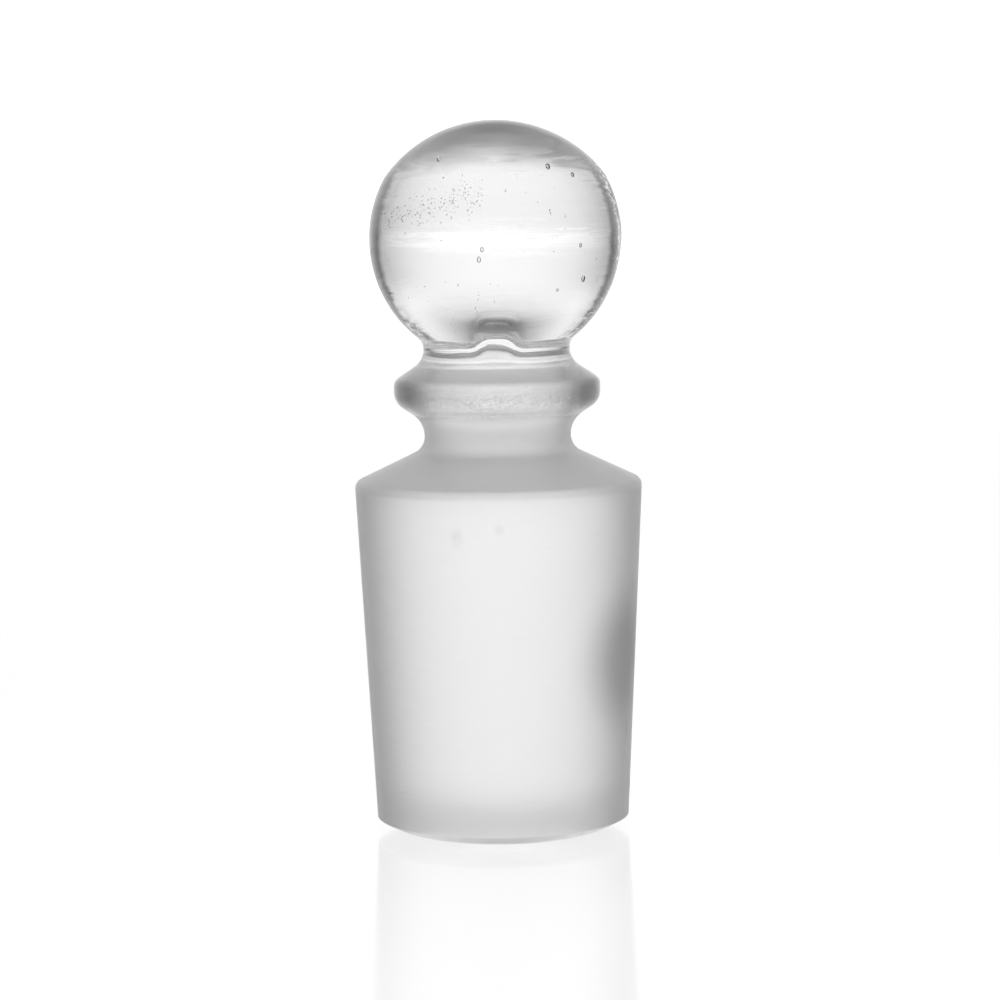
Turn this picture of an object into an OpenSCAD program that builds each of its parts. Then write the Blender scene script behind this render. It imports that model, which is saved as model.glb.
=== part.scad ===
// Ball-head stopper with a ground standard-taper plug, standing on its narrow end.
// The real object is one piece of glass. Here it is split into the sections that its
// shape reads as, and neighbouring sections meet face to face on level planes.
// The origin is the centre of the flat foot, and +Z runs up the axis to the ball.

/* [Ground plug] */
// Diameter of the ground cone at its wide end
ground_wide_d = 29.2; // [27:0.1:34]
// Length over which the ground cone's diameter grows by one millimetre
ground_taper = 10; // [8:0.5:16]
// Length of the ground cone along the axis
ground_length = 33.8; // [24:0.2:44]

/* [Foot] */
// Height of the rounded foot below the ground cone
foot_height = 1.45; // [1:0.05:2]
// Radius of the rounding that runs from the flat of the foot out to the ground cone
foot_round = 9.1; // [4:0.1:12]

/* [Shoulder] */
// Angle of the shoulder above the level
shoulder_angle = 25.5; // [20:0.5:32]
// Radius of the corner between the ground cone and the shoulder
shoulder_round = 0.9; // [0.4:0.1:1.6]

/* [Neck] */
// Diameter of the neck at its waist
neck_d = 14.9; // [13:0.1:15.2]
// Radius of the hollow below the neck's waist
neck_round_low = 1.95; // [1:0.05:3]
// Radius of the hollow above the neck's waist
neck_round_high = 2.7; // [1:0.05:2.8]

/* [Collar] */
// Diameter of the collar's rim
collar_d = 21; // [20.6:0.1:24]
// Angle of the collar's lower cone above the level
collar_angle_low = 33.5; // [30:0.5:40]
// Angle of the collar's upper cone above the level
collar_angle_high = 34; // [30:0.5:40]
// Height of the rim between the sharp corners of its two cones
rim_height = 2.2; // [2:0.1:3]
// Radius of the rim's lower corner
rim_round_low = 1.9; // [0.5:0.1:1.9]
// Radius of the rim's upper corner
rim_round_high = 1; // [0.5:0.1:1.4]

/* [Knob post] */
// Diameter of the post at its waist
post_d = 14.9; // [13:0.1:15.2]
// Radius of the hollow below the post's waist
post_round_low = 2.1; // [1:0.05:2.4]
// Radius of the hollow above the post's waist
post_round_high = 1.5; // [1:0.05:2.4]

/* [Ball knob] */
// Diameter of the ball
ball_d = 25.5; // [24:0.1:27]
// Radius of the flatter crown on top of the ball
crown_r = 13.7; // [13.7:0.1:16]
// How far the crown's top lies below the full ball's
crown_drop = 0.8; // [0.2:0.05:1.5]

/* [Hidden] */
$fn = 128;

clear_colour = [0.88, 0.92, 0.93];
ground_colour = [0.78, 0.81, 0.82];

// A rounding's disc is this much too large, so that it crosses the sides it blends.
hair = 0.0005;

// The outline is a half section of radius and height. It runs out along the foot and
// up to the ball, and its heading is 0 where it runs outward, 90 where it runs up.
function unit(heading) = [cos(heading), sin(heading)];

// How far from a corner its rounding starts, where the outline turns by turn.
function setback(r, turn) = r * tan(turn / 2);
function round_start(corner, heading, turn, r) = corner - setback(r, turn) * unit(heading);
function round_end(corner, heading, turn, r) = corner + setback(r, turn) * unit(heading + turn);

// The edge of a hollow of radius r that sweeps outward and up from a waist.
function hollow_edge(waist_r, r, sweep) = [waist_r + r * (1 - cos(sweep)), r * sin(sweep)];

// Ground cone
wide_r = ground_wide_d / 2;
narrow_r = wide_r - ground_length / ground_taper / 2;
ground_top = foot_height + ground_length;
ground_heading = atan(2 * ground_taper);

// Foot: its rounding leaves the flat level, and meets the ground cone in a crease
foot_flat_r = narrow_r - sqrt(2 * foot_round * foot_height - pow(foot_height, 2));

// Shoulder: its corner rounding starts where the ground cone ends
shoulder_turn = 180 - shoulder_angle - ground_heading;
shoulder_corner = [wide_r, ground_top] + setback(shoulder_round, shoulder_turn) * unit(ground_heading);

// Neck: one hollow comes in from the shoulder, and one goes out to the collar
neck_r = neck_d / 2;
neck_sweep_low = 90 - shoulder_angle;
neck_sweep_high = 90 - collar_angle_low;
neck_z = shoulder_corner.y
    + (shoulder_corner.x - neck_r) * tan(shoulder_angle)
    + setback(neck_round_low, neck_sweep_low);
neck_low_edge = hollow_edge(neck_r, neck_round_low, neck_sweep_low);
neck_high_edge = hollow_edge(neck_r, neck_round_high, neck_sweep_high);
neck_base = neck_z - neck_low_edge.y;
neck_top = neck_z + neck_high_edge.y;

// Collar: two cones and a rim between them
collar_r = collar_d / 2;
rim_low = [
    collar_r,
    neck_z + setback(neck_round_high, neck_sweep_high) + (collar_r - neck_r) * tan(collar_angle_low)
];
rim_high = rim_low + [0, rim_height];

// Knob post: one hollow comes in from the collar, and one goes out to the ball
post_r = post_d / 2;
ball_r = ball_d / 2;
post_sweep_low = 90 - collar_angle_high;
post_sweep_high = acos((post_r + post_round_high) / (ball_r + post_round_high));
post_z = rim_high.y
    + (collar_r - post_r) * tan(collar_angle_high)
    + setback(post_round_low, post_sweep_low);
post_low_edge = hollow_edge(post_r, post_round_low, post_sweep_low);
post_high_edge = hollow_edge(post_r, post_round_high, post_sweep_high);
post_base = post_z - post_low_edge.y;
post_top = post_z + post_high_edge.y;

// Ball: it touches the hollow above the post's waist
ball_z = post_z + (ball_r + post_round_high) * sin(post_sweep_high);
crown_z = ball_z + ball_r - crown_drop - crown_r;

// The disc that rounds an outline's corner from inside.
module corner_disc(corner, heading, turn, r) {
    translate(round_start(corner, heading, turn, r) + r * unit(heading + 90))
        circle(r + hair);
}

// Half section of a hollow, from its waist at height 0 up to its edge.
module hollow(waist_r, r, sweep) {
    difference() {
        square([waist_r + r, r * sin(sweep)]);
        translate([waist_r + r, 0])
            circle(r);
    }
}

// A waisted ring with its waist at height z.
module waisted_section(z, waist_r, round_low, sweep_low, round_high, sweep_high) {
    translate([0, 0, z])
        rotate_extrude() {
            hollow(waist_r, round_high, sweep_high);
            mirror([0, 1])
                hollow(waist_r, round_low, sweep_low);
        }
}

// The rounded, fire-polished end that the stopper stands on
module foot() {
    color(clear_colour)
        rotate_extrude()
            intersection() {
                square([narrow_r, foot_height]);
                union() {
                    square([foot_flat_r, foot_height]);
                    translate([foot_flat_r, foot_round])
                        circle(foot_round);
                }
            }
}

// The ground cone that seals in a socket of the same standard taper
module ground_plug() {
    color(ground_colour)
        translate([0, 0, foot_height])
            cylinder(h = ground_length, r1 = narrow_r, r2 = wide_r);
}

// The cone that draws in from the plug to the neck
module shoulder() {
    color(clear_colour)
        rotate_extrude()
            intersection() {
                translate([0, ground_top])
                    square([shoulder_corner.x, neck_base - ground_top]);
                union() {
                    polygon([
                        [0, ground_top],
                        [wide_r, ground_top],
                        round_end(shoulder_corner, ground_heading, shoulder_turn, shoulder_round),
                        [neck_low_edge.x, neck_base],
                        [0, neck_base]
                    ]);
                    corner_disc(shoulder_corner, ground_heading, shoulder_turn, shoulder_round);
                }
            }
}

// The waist between the shoulder and the collar
module neck() {
    color(clear_colour)
        waisted_section(neck_z, neck_r, neck_round_low, neck_sweep_low, neck_round_high, neck_sweep_high);
}

// The ring that stops a finger and thumb from sliding down onto the ground joint
module collar() {
    color(clear_colour)
        rotate_extrude() {
            polygon([
                [0, neck_top],
                [neck_high_edge.x, neck_top],
                round_start(rim_low, collar_angle_low, neck_sweep_high, rim_round_low),
                round_end(rim_low, collar_angle_low, neck_sweep_high, rim_round_low),
                round_start(rim_high, 90, post_sweep_low, rim_round_high),
                round_end(rim_high, 90, post_sweep_low, rim_round_high),
                [post_low_edge.x, post_base],
                [0, post_base]
            ]);
            corner_disc(rim_low, collar_angle_low, neck_sweep_high, rim_round_low);
            corner_disc(rim_high, 90, post_sweep_low, rim_round_high);
        }
}

// The waist between the collar and the ball
module knob_post() {
    color(clear_colour)
        waisted_section(post_z, post_r, post_round_low, post_sweep_low, post_round_high, post_sweep_high);
}

// The solid ball that is held to turn and lift the stopper
module ball_knob() {
    color(clear_colour)
        intersection() {
            translate([0, 0, ball_z])
                sphere(ball_r);
            translate([0, 0, crown_z])
                sphere(crown_r);
            translate([0, 0, post_top])
                cylinder(h = ball_d, r = ball_d);
        }
}

foot();
ground_plug();
shoulder();
neck();
collar();
knob_post();
ball_knob();
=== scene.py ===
"""Ball-head ground-glass stopper: the looks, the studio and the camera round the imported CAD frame.

The stopper is one piece of glass, standing on the narrow end of its plug. Each CAD section is
replaced by a lathed section with exact normals, and the flat faces where two sections meet are
invisible, so that light runs through them as through one body of glass.
Lengths in this script are in millimetres, and become metres where a mesh is made.
"""

import math
import random

import bmesh
import bpy
from mathutils import Matrix, Vector


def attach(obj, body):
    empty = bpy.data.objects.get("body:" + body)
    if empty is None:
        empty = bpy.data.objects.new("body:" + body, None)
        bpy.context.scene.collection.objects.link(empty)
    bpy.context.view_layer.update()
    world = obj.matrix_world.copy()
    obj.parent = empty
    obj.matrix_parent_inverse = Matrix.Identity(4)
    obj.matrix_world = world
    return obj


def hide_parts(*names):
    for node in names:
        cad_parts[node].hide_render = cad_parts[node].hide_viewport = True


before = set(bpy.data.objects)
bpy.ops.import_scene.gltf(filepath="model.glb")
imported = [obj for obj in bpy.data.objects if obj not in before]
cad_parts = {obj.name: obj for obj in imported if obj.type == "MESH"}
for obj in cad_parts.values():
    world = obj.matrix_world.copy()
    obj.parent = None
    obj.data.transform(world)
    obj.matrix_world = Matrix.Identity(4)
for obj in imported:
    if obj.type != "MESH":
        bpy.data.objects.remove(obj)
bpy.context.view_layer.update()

MM = 0.001
SIDES = 256           # steps round the axis
ARC_STEP = 2.5        # degrees between two rings on a rounding
LINE_STEP = 0.6       # between two rings on a straight side
SKIN = 0              # material number of the outer glass
JOINT = 1             # material number of a face where two sections meet

# ---------------------------------------------------------------- driving dimensions
GROUND_WIDE_R = 14.6
GROUND_TAPER = 10     # length over which the diameter grows by one
GROUND_LENGTH = 33.8
FOOT_HEIGHT = 1.45
FOOT_ROUND = 9.1
SHOULDER_ANGLE = 25.5
SHOULDER_ROUND = 0.9
WAIST_R = 7.45        # of the neck and of the knob post
NECK_ROUND_LOW = 1.95
NECK_ROUND_HIGH = 2.7
COLLAR_R = 10.5
COLLAR_ANGLE_LOW = 33.5
COLLAR_ANGLE_HIGH = 34
RIM_HEIGHT = 2.2
RIM_ROUND_LOW = 1.9
RIM_ROUND_HIGH = 1.0
POST_ROUND_LOW = 2.1
POST_ROUND_HIGH = 1.5
BALL_R = 12.75
CROWN_R = 13.7
CROWN_DROP = 0.8


# ---------------------------------------------------------------- outline
# The outline is a half section in (radius, height). Each of its points also carries the
# direction that the glass faces there, as an angle above the level.
def unit(angle):
    """The direction at that angle above the level, in the plane of the outline."""
    return Vector((math.cos(math.radians(angle)), math.sin(math.radians(angle))))


def setback(radius, turn):
    """How far from a sharp corner its rounding starts, where the outline turns by turn."""
    return radius * math.tan(math.radians(turn / 2))


def straight(start, end):
    """Points along a straight side. The glass faces to the right of its direction."""
    way = end - start
    facing = math.degrees(math.atan2(way.y, way.x)) - 90
    steps = max(1, math.ceil(way.length / LINE_STEP))
    return [(start + way * (i / steps), facing) for i in range(steps + 1)]


def arc(centre, radius, start, end, hollow=False):
    """Points along an arc from angle start to angle end. A hollow one faces its own centre."""
    steps = max(4, math.ceil(abs(end - start) / ARC_STEP))
    angles = [start + (end - start) * i / steps for i in range(steps + 1)]
    return [(centre + radius * unit(a), a + 180 if hollow else a) for a in angles]


def rounded_corner(corner, heading, turn, radius):
    """The arc that rounds a corner, where the outline arrives at heading and turns by turn."""
    start = corner - setback(radius, turn) * unit(heading)
    centre = start + radius * unit(heading + 90)
    return arc(centre, radius, heading - 90, heading + turn - 90)


def waist(height, round_low, sweep_low, round_high, sweep_high):
    """A hollow that comes in to the waist at that height, and one that goes out again."""
    low = arc(Vector((WAIST_R + round_low, height)), round_low, 180 + sweep_low, 180, hollow=True)
    high = arc(Vector((WAIST_R + round_high, height)), round_high, 180, 180 - sweep_high, hollow=True)
    return low + high[1:]


def section_outlines():
    """The outer side of each section, from its lowest ring to its highest."""
    narrow_r = GROUND_WIDE_R - GROUND_LENGTH / GROUND_TAPER / 2
    foot_flat_r = narrow_r - math.sqrt(2 * FOOT_ROUND * FOOT_HEIGHT - FOOT_HEIGHT ** 2)
    foot_sweep = math.degrees(math.asin((narrow_r - foot_flat_r) / FOOT_ROUND))
    ground_low = Vector((narrow_r, FOOT_HEIGHT))
    ground_high = Vector((GROUND_WIDE_R, FOOT_HEIGHT + GROUND_LENGTH))
    ground_heading = math.degrees(math.atan(2 * GROUND_TAPER))

    shoulder_heading = 180 - SHOULDER_ANGLE
    shoulder_turn = shoulder_heading - ground_heading
    shoulder_corner = ground_high + setback(SHOULDER_ROUND, shoulder_turn) * unit(ground_heading)
    shoulder_arc = rounded_corner(shoulder_corner, ground_heading, shoulder_turn, SHOULDER_ROUND)

    neck_sweep_low = 90 - SHOULDER_ANGLE
    neck_sweep_high = 90 - COLLAR_ANGLE_LOW
    shoulder_rise = (shoulder_corner.x - WAIST_R) * math.tan(math.radians(SHOULDER_ANGLE))
    neck_z = shoulder_corner.y + shoulder_rise + setback(NECK_ROUND_LOW, neck_sweep_low)
    neck = waist(neck_z, NECK_ROUND_LOW, neck_sweep_low, NECK_ROUND_HIGH, neck_sweep_high)

    collar_width = COLLAR_R - WAIST_R
    underside_rise = collar_width * math.tan(math.radians(COLLAR_ANGLE_LOW))
    rim_low = Vector((COLLAR_R, neck_z + setback(NECK_ROUND_HIGH, neck_sweep_high) + underside_rise))
    rim_high = rim_low + Vector((0, RIM_HEIGHT))
    post_sweep_low = 90 - COLLAR_ANGLE_HIGH
    rim_low_arc = rounded_corner(rim_low, COLLAR_ANGLE_LOW, neck_sweep_high, RIM_ROUND_LOW)
    rim_high_arc = rounded_corner(rim_high, 90, post_sweep_low, RIM_ROUND_HIGH)

    top_rise = collar_width * math.tan(math.radians(COLLAR_ANGLE_HIGH))
    post_z = rim_high.y + top_rise + setback(POST_ROUND_LOW, post_sweep_low)
    reach = BALL_R + POST_ROUND_HIGH
    post_sweep_high = math.degrees(math.acos((WAIST_R + POST_ROUND_HIGH) / reach))
    post = waist(post_z, POST_ROUND_LOW, post_sweep_low, POST_ROUND_HIGH, post_sweep_high)

    ball_centre = Vector((0, post_z + reach * math.sin(math.radians(post_sweep_high))))
    crown_centre = ball_centre + Vector((0, BALL_R - CROWN_DROP - CROWN_R))
    drop = ball_centre.y - crown_centre.y
    meet_height = (BALL_R ** 2 - CROWN_R ** 2 + drop ** 2) / (-2 * drop)
    meet_ball = math.degrees(math.asin(meet_height / BALL_R))
    meet_crown = math.degrees(math.asin((meet_height + drop) / CROWN_R))
    ball = arc(ball_centre, BALL_R, -post_sweep_high, meet_ball)
    crown = arc(crown_centre, CROWN_R, meet_crown, 90)

    outlines = {
        "foot": arc(Vector((foot_flat_r, FOOT_ROUND)), FOOT_ROUND, -90, foot_sweep - 90),
        "ground_plug": straight(ground_low, ground_high),
        "shoulder": shoulder_arc + straight(shoulder_arc[-1][0], neck[0][0])[1:],
        "neck": neck,
        "collar": straight(neck[-1][0], rim_low_arc[0][0])
        + rim_low_arc[1:]
        + straight(rim_low_arc[-1][0], rim_high_arc[0][0])[1:]
        + rim_high_arc[1:]
        + straight(rim_high_arc[-1][0], post[0][0])[1:],
        "knob_post": post,
        "ball_knob": ball + crown[1:],
    }
    return outlines, Vector((0, 0, ball_centre.y))


# ---------------------------------------------------------------- meshes
class Surface:
    """Points, faces, a material number for each face and a normal for each face corner."""

    def __init__(self):
        self.points = []
        self.faces = []
        self.materials = []
        self.normals = []

    def face(self, corners, normals, material):
        self.faces.append(corners)
        self.materials.append(material)
        self.normals.extend(normals)

    def piece(self, name, materials):
        mesh = bpy.data.meshes.new(name)
        mesh.from_pydata([p * MM for p in self.points], [], self.faces)
        for material in materials:
            mesh.materials.append(material)
        mesh.polygons.foreach_set("material_index", self.materials)
        mesh.polygons.foreach_set("use_smooth", [True] * len(self.faces))
        mesh.normals_split_custom_set([tuple(n) for n in self.normals])
        piece = bpy.data.objects.new(name, mesh)
        bpy.context.scene.collection.objects.link(piece)
        return piece


def no_swell(place):
    """Glass that stands where its outline says."""
    return 0.0


def ring_frames(point, facing):
    """For each step round the axis: the place, the normal and the two directions along the glass."""
    across = unit(facing)
    up = unit(facing + 90)
    for k in range(SIDES):
        angle = 2 * math.pi * k / SIDES
        out = Vector((math.cos(angle), math.sin(angle), 0))
        place = out * point.x + Vector((0, 0, point.y))
        normal = out * across.x + Vector((0, 0, across.y))
        climb = out * up.x + Vector((0, 0, up.y))
        yield place, normal, climb, normal.cross(climb)


def swollen(place, normal, climb, round_way, swell):
    """Where the glass really lies, and how it faces there, when it swells by swell(place)."""
    probe = 0.02
    rise = swell(place)
    slope_up = (swell(place + climb * probe) - swell(place - climb * probe)) / (2 * probe)
    slope_round = (swell(place + round_way * probe) - swell(place - round_way * probe)) / (2 * probe)
    facing = (normal - climb * slope_up - round_way * slope_round).normalized()
    return place + normal * rise, facing


def lathe(outline, swell=no_swell, open_bottom=True, open_top=True):
    """Turns an outline into a closed body. An open end is a joint with the next section."""
    surface = Surface()
    facings = []
    rings = []
    for point, facing in outline:
        if point.x < 1e-6:
            rings.append([len(surface.points)] * SIDES)
            surface.points.append(Vector((0, 0, point.y)))
            facings.append(Vector((0, 0, 1)))
            continue
        rings.append(list(range(len(surface.points), len(surface.points) + SIDES)))
        for directions in ring_frames(point, facing):
            place, normal = swollen(*directions, swell)
            surface.points.append(place)
            facings.append(normal)
    for low, high in zip(rings, rings[1:]):
        for k in range(SIDES):
            corners = [low[k], low[k - SIDES + 1], high[k - SIDES + 1], high[k]]
            if high[0] == high[1]:
                corners.pop()
            surface.face(corners, [facings[c] for c in corners], SKIN)
    flat_end(surface, rings[0], outline[0][0].y, -1, JOINT if open_bottom else SKIN)
    if rings[-1][0] != rings[-1][1]:
        flat_end(surface, rings[-1], outline[-1][0].y, 1, JOINT if open_top else SKIN)
    return surface


def flat_end(surface, ring, height, way, material):
    """Closes a body with a flat disc that faces up (way 1) or down (way -1)."""
    middle = len(surface.points)
    surface.points.append(Vector((0, 0, height)))
    for k in range(SIDES):
        corners = [middle, ring[k], ring[k - SIDES + 1]]
        if way < 0:
            corners.reverse()
        surface.face(corners, [Vector((0, 0, way))] * 3, material)


# ---------------------------------------------------------------- seeds in the ball
def small_ball(divisions):
    """Points and faces of a ball of radius 1."""
    shape = bmesh.new()
    bmesh.ops.create_icosphere(shape, subdivisions=divisions, radius=1)
    points = [v.co.copy() for v in shape.verts]
    faces = [[v.index for v in f.verts] for f in shape.faces]
    shape.free()
    return points, faces


def add_seed(surface, centre, size, template):
    """A bubble: a closed hollow whose wall faces into the bubble, away from the glass."""
    points, faces = template
    first = len(surface.points)
    surface.points.extend(centre + Vector((p.x * size.x, p.y * size.y, p.z * size.z)) for p in points)
    inward = [-Vector((p.x / size.x, p.y / size.y, p.z / size.z)).normalized() for p in points]
    for face in faces:
        corners = list(reversed(face))
        surface.face([first + c for c in corners], [inward[c] for c in corners], SKIN)


# Single seeds that stand out: their place to the right, behind and above the ball's centre, radius
SINGLE_SEEDS = [
    (-5.4, -8.0, 8.0, 0.22),
    (5.2, -8.4, 7.0, 0.26),
    (7.6, -7.4, 6.2, 0.2),
    (-1.2, -10.4, -0.8, 0.18),
    (-1.5, -10.4, -1.7, 0.2),
    (8.4, -7.6, -3.8, 0.24),
    (8.0, -8.0, -0.6, 0.16),
    (5.9, -9.2, -4.8, 0.14),
]


# The band of fine seeds, from the ball's centre: its left end, its length, its rise to the right,
# and how far forward it lies, as a share of the way out to the front of a ball of this radius
BAND_SEEDS = 460
BAND_LEFT = -11.2
BAND_HEIGHT = 1.9
BAND_LENGTH = 10.2
BAND_RISE = 2.2
BAND_FORWARD = 0.8
BAND_REACH = 12.2
STRAY_SEEDS = 110
# No stray seed is lower than this from the ball's centre, where the post begins.
STRAY_FLOOR = -9


def add_seeds(surface, centre):
    """The single seeds, the band of fine seeds on the upper left, and strays all through the ball."""
    rng = random.Random(29)
    template = small_ball(2)
    for x, y, z, radius in SINGLE_SEEDS:
        add_seed(surface, centre + Vector((x, y, z)), Vector((radius, radius, radius * 1.5)), template)
    for _ in range(BAND_SEEDS):
        along = rng.uniform(0, 1)
        x = BAND_LEFT + BAND_LENGTH * along
        z = BAND_HEIGHT + BAND_RISE * along + rng.gauss(0, 0.8)
        y = -BAND_FORWARD * math.sqrt(BAND_REACH ** 2 - x ** 2 - z ** 2) + rng.uniform(-0.5, 0.5)
        radius = rng.choice([0.02, 0.025, 0.03, 0.035, 0.05, 0.08])
        add_seed(surface, centre + Vector((x, y, z)), Vector((radius, radius, radius)), template)
    for _ in range(STRAY_SEEDS):
        place = Vector([rng.gauss(0, 1) for _ in range(3)]).normalized() * rng.uniform(4, 11.8)
        radius = rng.choice([0.025, 0.03, 0.04, 0.05])
        if place.z > STRAY_FLOOR:
            add_seed(surface, centre + place, Vector((radius, radius, radius * 1.3)), template)


# Where the ball bulges: azimuth from the right and height in degrees, bulge, half width in degrees
BULGES = [
    (0, 30, 0.15, 26),
    (0, 2, 0.06, 8),
    (-40, 10, 0.04, 16),
    (-120, -15, 0.04, 20),
]
# The tooled dent on the front, where the ball meets the post
DENT_Z = 50.9
DENT_DEPTH = 1.1
DENT_HALF_WIDTH = 2.0
DENT_HALF_HEIGHT = 1.3


def ball_swell(centre):
    """How far glass that was worked by hand stands out from a true ball, at each place."""
    lobes = []
    for azimuth, height, bulge, width in BULGES:
        level = unit(azimuth) * unit(height).x
        lobes.append((Vector((level.x, level.y, unit(height).y)), bulge, width))

    def swell(place):
        facing = place - centre
        total = 0.0
        for way, bulge, width in lobes:
            total += bulge * math.exp(-(math.degrees(facing.angle(way)) / width) ** 2)
        if place.y < 0:
            away = (place.x / DENT_HALF_WIDTH) ** 4 + ((place.z - DENT_Z) / DENT_HALF_HEIGHT) ** 2
            total -= DENT_DEPTH * math.exp(-away)
        return total

    return swell


# ---------------------------------------------------------------- materials
GLASS_IOR = 1.5


def new_material(name):
    material = bpy.data.materials.new(name)
    material.use_nodes = True
    return material, material.node_tree


def link_math(tree, operation, first, second=None, third=None):
    """A Math node. Each input is a number or another node's output."""
    node = tree.nodes.new("ShaderNodeMath")
    node.operation = operation
    for socket, value in zip(node.inputs, (first, second, third)):
        if isinstance(value, bpy.types.NodeSocket):
            tree.links.new(value, socket)
        elif value is not None:
            socket.default_value = value
    return node.outputs[0]


def glass(name, roughness):
    """Colourless glass. Roughness 0 is clear."""
    material, tree = new_material(name)
    shader = tree.nodes["Principled BSDF"]
    shader.inputs["Base Color"].default_value = (1, 1, 1, 1)
    shader.inputs["Transmission Weight"].default_value = 1
    shader.inputs["IOR"].default_value = GLASS_IOR
    shader.inputs["Roughness"].default_value = roughness
    return material, tree, shader


def soft_step(tree, value, start, end):
    """0 up to start, 1 from end on, and smooth between."""
    edge = tree.nodes.new("ShaderNodeMapRange")
    edge.interpolation_type = "SMOOTHSTEP"
    tree.links.new(value, edge.inputs["Value"])
    edge.inputs["From Min"].default_value = start
    edge.inputs["From Max"].default_value = end
    return edge.outputs["Result"]


def mix_shaders(tree, share, first, second):
    """A share of the second shader over the first. The share is a number or a socket."""
    mixed = tree.nodes.new("ShaderNodeMixShader")
    if isinstance(share, float):
        mixed.inputs[0].default_value = share
    else:
        tree.links.new(share, mixed.inputs[0])
    tree.links.new(first.outputs[0], mixed.inputs[1])
    tree.links.new(second.outputs[0], mixed.inputs[2])
    return mixed


def object_place(tree):
    """The place on the stopper, in metres."""
    return tree.nodes.new("ShaderNodeTexCoord").outputs["Object"]


def coordinate(tree, place, axis):
    """One of a place's three numbers."""
    parts = tree.nodes.new("ShaderNodeSeparateXYZ")
    tree.links.new(place, parts.inputs[0])
    return parts.outputs[axis]


def stretched_noise(tree, place, across, up, detail):
    """Noise that changes across times per metre round the glass, and up times per metre of height."""
    scaled = tree.nodes.new("ShaderNodeVectorMath")
    scaled.operation = "MULTIPLY"
    tree.links.new(place, scaled.inputs[0])
    scaled.inputs[1].default_value = (across, across, up)
    noise = tree.nodes.new("ShaderNodeTexNoise")
    noise.inputs["Scale"].default_value = 1
    noise.inputs["Detail"].default_value = detail
    tree.links.new(scaled.outputs[0], noise.inputs["Vector"])
    return noise


def swing(tree, value, amount):
    """A value of 0 to 1 made into one of -amount to +amount."""
    return link_math(tree, "MULTIPLY_ADD", value, 2 * amount, -amount)


def tip_normal(tree, shader, tips):
    """Tips the normal by three numbers. Each is along one axis of the stopper, or None."""
    surface = tree.nodes.new("ShaderNodeNewGeometry")
    tip = tree.nodes.new("ShaderNodeCombineXYZ")
    for socket, value in zip(tip.inputs, tips):
        if value is not None:
            tree.links.new(value, socket)
    total = tree.nodes.new("ShaderNodeVectorMath")
    total.operation = "ADD"
    tree.links.new(surface.outputs["Normal"], total.inputs[0])
    tree.links.new(tip.outputs[0], total.inputs[1])
    length_one = tree.nodes.new("ShaderNodeVectorMath")
    length_one.operation = "NORMALIZE"
    tree.links.new(total.outputs[0], length_one.inputs[0])
    tree.links.new(length_one.outputs[0], shader.inputs["Normal"])


def grinding_lines(tree, place, fine, coarse):
    """How much lines round the axis tip the glass: a spread finer than sight, and visible ones."""
    height = coordinate(tree, place, "Z")
    hairline = tree.nodes.new("ShaderNodeTexWhiteNoise")
    hairline.noise_dimensions = "1D"
    tree.links.new(link_math(tree, "MULTIPLY", height, 1e6), hairline.inputs["W"])
    line = stretched_noise(tree, place, 300, 6000, 2).outputs[0]
    return link_math(tree, "ADD", swing(tree, hairline.outputs["Value"], fine), swing(tree, line, coarse))


def oval(tree, place, azimuth, height, half_width, half_height):
    """0 in the middle of an oval on the glass and 1 on its edge.

    Azimuth is from the right and half_width is round the glass, both in degrees.
    """
    turn = link_math(tree, "ARCTAN2", coordinate(tree, place, "Y"), coordinate(tree, place, "X"))
    rise = coordinate(tree, place, "Z")
    sideways = link_math(tree, "MULTIPLY_ADD", turn, math.degrees(1) / half_width, -azimuth / half_width)
    upward = link_math(tree, "MULTIPLY_ADD", rise, 1 / (half_height * MM), -height / half_height)
    square = link_math(tree, "MULTIPLY", sideways, sideways)
    return link_math(tree, "SQRT", link_math(tree, "MULTIPLY_ADD", upward, upward, square))


def spot(tree, place, *shape):
    """A soft oval: 1 in its middle and 0 outside it."""
    return soft_step(tree, oval(tree, place, *shape), 1, 0.2)


def darken(tree, shader, marks):
    """Takes away an amount of light where each mask is 1. Marks are (mask, amount) pairs."""
    level = 1
    for mask, amount in marks:
        kept = link_math(tree, "MULTIPLY_ADD", mask, -amount, 1)
        level = link_math(tree, "MULTIPLY", kept, level)
    tree.links.new(level, shader.inputs["Base Color"])


def ball_glass():
    """The ball and its post: clear, with level striae, a slow waviness and painted shade low in front, a
    mottled dark blob above the post.
    """
    material, tree, shader = glass("ball_glass", 0.0)
    place = object_place(tree)
    striae = stretched_noise(tree, place, 90, 1400, 3).outputs[0]
    wave = stretched_noise(tree, place, 260, 260, 1).outputs["Color"]
    wave_x = swing(tree, coordinate(tree, wave, "X"), 0.06)
    wave_z = swing(tree, coordinate(tree, wave, "Z"), 0.06)
    tip_normal(tree, shader, (wave_x, None, link_math(tree, "ADD", swing(tree, striae, 0.2), wave_z)))
    # Painted shade: a mottled dark blob low on the front of the ball, just above the post, darkening its
    # colour.
    mottle = stretched_noise(tree, place, 500, 1800, 2).outputs[0]
    painted_shade_blob = link_math(tree, "MULTIPLY", spot(tree, place, -88, 52.1, 34, 1.1), mottle)
    darken(tree, shader, [(painted_shade_blob, 0.9)])
    return material


def satin_glass():
    """The neck and the shoulder: turned smooth, with a silky skin."""
    material, tree, shader = glass("satin_glass", 0.3)
    tip_normal(tree, shader, (None, None, grinding_lines(tree, object_place(tree), 0.9, 0.05)))
    return material


def tooled_glass(name):
    """Nearly smooth glass, with fine marks of the turning tool round the axis."""
    material, tree, shader = glass(name, 0.1)
    place = object_place(tree)
    tip_normal(tree, shader, (None, None, grinding_lines(tree, place, 0.6, 0.05)))
    return material, tree, shader, place


RIM_Z = 45.1          # middle of the collar's rim
PITTED_Z = 44.6       # middle of the pitted band on the rim


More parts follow.
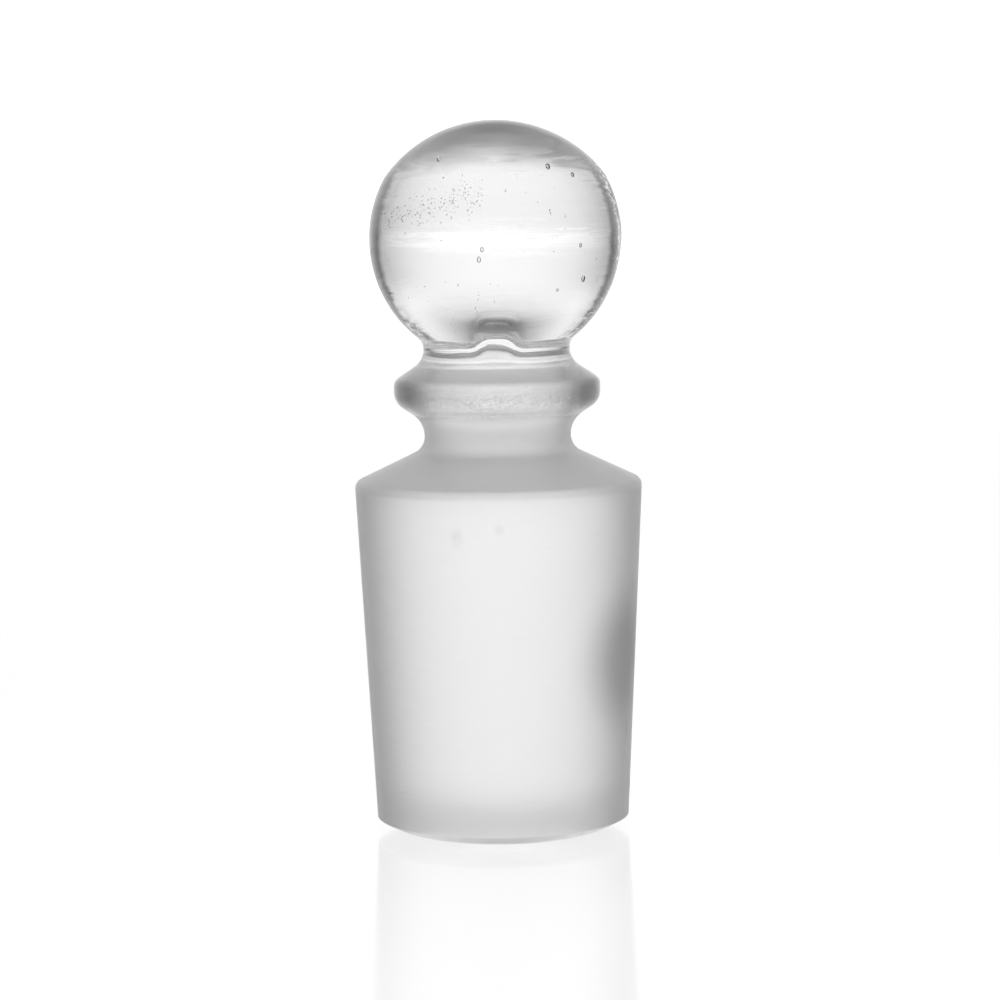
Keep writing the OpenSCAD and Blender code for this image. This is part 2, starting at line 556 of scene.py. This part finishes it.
def rim_glass():
    """The collar: tooled glass, with a band of fine pits low on its rim, and painted shade on both ends
    of the rim.
    """
    material, tree, shader, place = tooled_glass("rim_glass")
    speckle = stretched_noise(tree, place, 5000, 5000, 1).outputs[0]
    pit = link_math(tree, "GREATER_THAN", speckle, 0.55)
    band = spot(tree, place, -90, PITTED_Z, 140, 1.2)
    marks = [
        (link_math(tree, "MULTIPLY", pit, band), 0.45),
        # Painted shade: the two ends of the rim, left and right, are made darker.
        (spot(tree, place, -28, RIM_Z, 28, 2.2), 0.6),
        (spot(tree, place, -152, RIM_Z, 28, 2.2), 0.6),
    ]
    darken(tree, shader, marks)
    return material


def ground_glass():
    """The ground plug, with painted shade on its right, two faint smudges and a scratch."""
    material, tree, shader = glass("ground_glass", 0.4)
    place = object_place(tree)
    tip_normal(tree, shader, (None, None, grinding_lines(tree, place, 0.2, 0.12)))
    mottle = stretched_noise(tree, place, 1800, 1800, 2).outputs[0]
    streak = stretched_noise(tree, place, 150, 5000, 2).outputs[0]
    smudge_low = link_math(tree, "MULTIPLY", spot(tree, place, -107, 31.5, 4, 1.5), mottle)
    smudge_high = link_math(tree, "MULTIPLY", spot(tree, place, -90, 32.4, 3, 0.8), mottle)
    marks = [
        # Painted shade: a broad dark patch on the right of the plug, standing in for a dark reflection
        # seen in it.
        (spot(tree, place, -26, 18.3, 38, 10), 0.6),
        (smudge_low, 0.3),
        (smudge_high, 0.3),
        (spot(tree, place, -19.4, 11, 0.8, 1.6), 0.4),
        (streak, 0.05),
    ]
    darken(tree, shader, marks)
    return material


def fused_joint():
    """Two sections meet here inside the glass, so nothing shows."""
    material, tree = new_material("fused_joint")
    tree.nodes.clear()
    output = tree.nodes.new("ShaderNodeOutputMaterial")
    through = tree.nodes.new("ShaderNodeBsdfTransparent")
    tree.links.new(through.outputs[0], output.inputs["Surface"])
    return material


# ---------------------------------------------------------------- the stopper
def add_stopper():
    """Lathes each section, gives it its finish and puts it in the place of its CAD node."""
    outlines, ball_centre = section_outlines()
    foot = tooled_glass("foot_glass")[0]
    ball = ball_glass()
    satin = satin_glass()
    rim = rim_glass()
    ground = ground_glass()
    joint = fused_joint()
    finishes = {
        "foot": (foot, "clear_glass"),
        "ground_plug": (ground, "ground_glass"),
        "shoulder": (satin, "satin_glass"),
        "neck": (satin, "satin_glass"),
        "collar": (rim, "satin_glass"),
        "knob_post": (ball, "clear_glass"),
        "ball_knob": (ball, "clear_glass"),
    }
    for name, (finish, slot) in finishes.items():
        if name == "knob_post":
            surface = lathe(outlines[name], ball_swell(ball_centre))
        elif name == "ball_knob":
            surface = lathe(outlines[name], ball_swell(ball_centre), open_top=False)
            add_seeds(surface, ball_centre)
        elif name == "foot":
            surface = lathe(outlines[name], open_bottom=False)
        else:
            surface = lathe(outlines[name])
        piece = surface.piece(name + "_glass", [finish, joint])
        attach(piece, "root")
        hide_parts(name)


# ---------------------------------------------------------------- studio
FLOOR_GAP = 0.03      # a film of air, so that the foot stays a face of its own
FLOOR_IOR = 1.5
FLOOR_ROUGHNESS = 0.12
FLOOR_THROUGH = 0.7   # share of light that goes through the sheet
SHINE_LIMIT = 0.4     # of the floor, at a grazing view
FLOOR_MELTS = (0.2, 2.0)  # metres from the stopper where the floor starts and ends melting away


def floor_skin(tree):
    """A pale translucent sheet with a soft shine."""
    matt = tree.nodes.new("ShaderNodeBsdfDiffuse")
    matt.inputs["Color"].default_value = (0.9, 0.9, 0.9, 1)
    through = tree.nodes.new("ShaderNodeBsdfTransparent")
    shine = tree.nodes.new("ShaderNodeBsdfGlossy")
    shine.inputs["Roughness"].default_value = FLOOR_ROUGHNESS
    angle = tree.nodes.new("ShaderNodeFresnel")
    angle.inputs["IOR"].default_value = FLOOR_IOR
    sheet = mix_shaders(tree, FLOOR_THROUGH, matt, through)
    return mix_shaders(tree, link_math(tree, "MINIMUM", angle.outputs[0], SHINE_LIMIT), sheet, shine)


def add_floor():
    """The floor lies a hair below the foot, and melts into the cove further out."""
    material, tree = new_material("pale_floor")
    tree.nodes.clear()
    distance = tree.nodes.new("ShaderNodeVectorMath")
    distance.operation = "LENGTH"
    tree.links.new(object_place(tree), distance.inputs[0])
    melt = soft_step(tree, distance.outputs["Value"], *FLOOR_MELTS)
    beyond = tree.nodes.new("ShaderNodeBsdfTransparent")
    output = tree.nodes.new("ShaderNodeOutputMaterial")
    tree.links.new(mix_shaders(tree, melt, floor_skin(tree), beyond).outputs[0], output.inputs["Surface"])

    half = FLOOR_MELTS[1]
    level = -FLOOR_GAP * MM
    corners = [(-half, -half, level), (half, -half, level), (half, half, level), (-half, half, level)]
    mesh = bpy.data.meshes.new("floor")
    mesh.from_pydata(corners, [], [(0, 1, 2, 3)])
    mesh.materials.append(material)
    floor = bpy.data.objects.new("floor", mesh)
    bpy.context.scene.collection.objects.link(floor)


# The studio by direction, in degrees. Azimuth 0 is behind the stopper and 180 behind the camera,
# and height is above the level. Each pair is where a soft edge starts and ends.
# The cove is a lit sheet that comes up behind the stopper in layers and runs on over it.
BELOW = 0.1
# Brightness of each layer, and the heights between which it takes over from the one below it
COVE_LAYERS = [
    (1.25, (-40, -22)),
    (1.0, (-6, 4)),
    (1.5, (10, 28)),
    (2.2, (45, 75)),
]
COVE_SIDE = (50, 60)
COVE_SIDE_LEVEL = 0.5  # of its brightness that is left where its side edge starts
# A dark gap in the middle of the cove.
GAP = 1.25
GAP_SIDE = (0, 45)
GAP_BOTTOM = (10, 35)
GAP_TOP = (45, 75)
# A dim light from the front.
FILL = 0.5
FILL_SIDE = (80, 110)
PALE_BACKGROUND = 1.42


def cove_light(tree, azimuth, height):
    """Each layer takes over from the one below it. The sheet dims to its sides, and then ends."""
    below = BELOW
    light = BELOW
    for brightness, edge in COVE_LAYERS:
        change = link_math(tree, "MULTIPLY", soft_step(tree, height, *edge), brightness - below)
        light = link_math(tree, "ADD", change, light)
        below = brightness
    share = link_math(tree, "DIVIDE", azimuth, COVE_SIDE[0])
    dimming = link_math(tree, "MULTIPLY", link_math(tree, "MULTIPLY", share, share), COVE_SIDE_LEVEL - 1)
    across = link_math(tree, "ADD", dimming, 1)
    inside = link_math(tree, "SUBTRACT", 1, soft_step(tree, azimuth, *COVE_SIDE))
    return link_math(tree, "MULTIPLY", light, link_math(tree, "MULTIPLY", across, inside))


def gap_shade(tree, azimuth, height):
    """What the gap takes away from the cove."""
    across = link_math(tree, "SUBTRACT", 1, soft_step(tree, azimuth, *GAP_SIDE))
    below_top = link_math(tree, "SUBTRACT", 1, soft_step(tree, height, *GAP_TOP))
    up = link_math(tree, "MULTIPLY", soft_step(tree, height, *GAP_BOTTOM), below_top)
    return link_math(tree, "MULTIPLY", link_math(tree, "MULTIPLY", across, up), GAP)


def add_studio_light():
    """Soft light by direction. The camera itself sees a plain pale background."""
    world = bpy.data.worlds.new("studio")
    bpy.context.scene.world = world
    world.use_nodes = True
    tree = world.node_tree
    tree.nodes.clear()
    direction = tree.nodes.new("ShaderNodeTexCoord").outputs["Generated"]
    side = link_math(tree, "ABSOLUTE", coordinate(tree, direction, "X"))
    turn = link_math(tree, "ARCTAN2", side, coordinate(tree, direction, "Y"))
    azimuth = link_math(tree, "DEGREES", turn)
    height = link_math(tree, "DEGREES", link_math(tree, "ARCSINE", coordinate(tree, direction, "Z")))

    cove = cove_light(tree, azimuth, height)
    behind = link_math(tree, "SUBTRACT", cove, gap_shade(tree, azimuth, height))
    fill = link_math(tree, "MULTIPLY", soft_step(tree, azimuth, *FILL_SIDE), FILL)
    light = link_math(tree, "ADD", link_math(tree, "MAXIMUM", behind, 0), fill)

    seen = tree.nodes.new("ShaderNodeLightPath").outputs["Is Camera Ray"]
    choice = tree.nodes.new("ShaderNodeMix")
    choice.data_type = "FLOAT"
    tree.links.new(seen, choice.inputs["Factor"])
    tree.links.new(light, choice.inputs["A"])
    choice.inputs["B"].default_value = PALE_BACKGROUND
    background = tree.nodes.new("ShaderNodeBackground")
    tree.links.new(choice.outputs[0], background.inputs["Color"])
    output = tree.nodes.new("ShaderNodeOutputWorld")
    tree.links.new(background.outputs[0], output.inputs["Surface"])


SENSOR_WIDTH = 36
LENS = 115.2
CAMERA_PLACE = Vector((0.13, -324.7, 67.77))
CAMERA_TILT = 5.97    # degrees below the level
CAMERA_ROLL = -0.85   # degrees


def add_camera():
    """A long lens, a little above the ball's centre, looking slightly down and rolled by a hair."""
    data = bpy.data.cameras.new("camera")
    data.sensor_width = SENSOR_WIDTH
    data.lens = LENS
    camera = bpy.data.objects.new("camera", data)
    bpy.context.scene.collection.objects.link(camera)
    camera.location = CAMERA_PLACE * MM
    tilt = math.radians(90 - CAMERA_TILT)
    roll = math.radians(CAMERA_ROLL)
    camera.rotation_euler = (Matrix.Rotation(tilt, 3, "X") @ Matrix.Rotation(roll, 3, "Z")).to_euler()
    bpy.context.scene.camera = camera


def set_light_paths():
    """Enough bounces for light that crosses rough glass and its inner reflections."""
    scene = bpy.context.scene
    scene.view_settings.view_transform = "Standard"
    scene.cycles.max_bounces = 32
    scene.cycles.transmission_bounces = 32
    scene.cycles.transparent_max_bounces = 64
    scene.cycles.glossy_bounces = 16


add_camera()
add_stopper()
add_floor()
add_studio_light()
set_light_paths()
